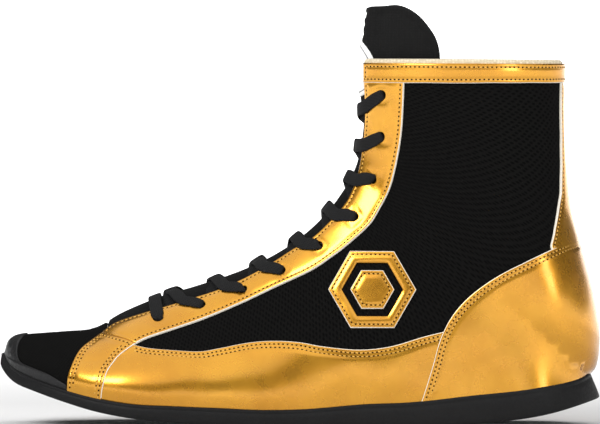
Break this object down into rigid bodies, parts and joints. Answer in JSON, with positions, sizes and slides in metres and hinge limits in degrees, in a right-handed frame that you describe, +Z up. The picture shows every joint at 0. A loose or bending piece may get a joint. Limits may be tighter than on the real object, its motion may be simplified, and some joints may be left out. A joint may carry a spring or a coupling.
{
  "type": "boxing boot",
  "caption": "Ankle-high laced boxing boot for the left foot: black mesh upper, gold leather overlays, padded tongue, thin rubber sole with toe spring, flat black lace.",
  "frame": {"origin": "under the middle of the boot, on the flat of the sole", "axes": "+X from toe to heel along the sole, +Y towards the inner (medial) side of the foot, +Z up"},
  "size_m": [0.2892, 0.0956, 0.2025],
  "materials": {
    "gold_leather": "metallic coated, grained",
    "black_mesh": "knitted mesh",
    "sole_rubber": "moulded, matt",
    "black_leather": "fine grain",
    "lining_fabric": "brushed knit",
    "board": "fibre board",
    "foam": "open-cell foam",
    "footbed": "fabric over foam",
    "lace_fabric": "flat woven",
    "label_fabric": "woven, plain",
    "aglet_plastic": "clear-coated film"
  },
  "bodies": {
    "boot": {"outsole": "sole_rubber", "lasting_board": "board", "sockliner": "footbed", "vamp": "black_mesh", "vamp_lining": "lining_fabric", "toe_puff": "board", "toe_rand": "black_leather", "heel_counter": "gold_leather", "heel_stiffener": "board", "collar_band": "gold_leather", "back_stay": "gold_leather", "lace": "lace_fabric", "aglet_lateral": "aglet_plastic", "aglet_medial": "aglet_plastic", "quarter_lateral": "black_mesh", "quarter_lining_lateral": "lining_fabric", "facing_lining_lateral": "lining_fabric", "eyestay_lateral": "gold_leather", "mudguard_lateral": "gold_leather", "toe_overlay_lateral": "gold_leather", "emblem_ring_lateral": "gold_leather", "emblem_heart_lateral": "gold_leather", "quarter_medial": "black_mesh", "quarter_lining_medial": "lining_fabric", "facing_lining_medial": "lining_fabric", "eyestay_medial": "gold_leather", "mudguard_medial": "gold_leather", "toe_overlay_medial": "gold_leather", "emblem_ring_medial": "gold_leather", "emblem_heart_medial": "gold_leather"},
    "tongue": {"tongue_face": "black_mesh", "tongue_foam": "foam", "tongue_lining": "lining_fabric", "tongue_label": "label_fabric"}
  },
  "joints": [
    {"name": "tongue_swing", "type": "hinge", "parent": "boot", "child": "tongue", "pos_m": [-0.096, 0.002, 0.045], "axis": [0, 1, 0], "range_deg": [0, 7]}
  ]
}
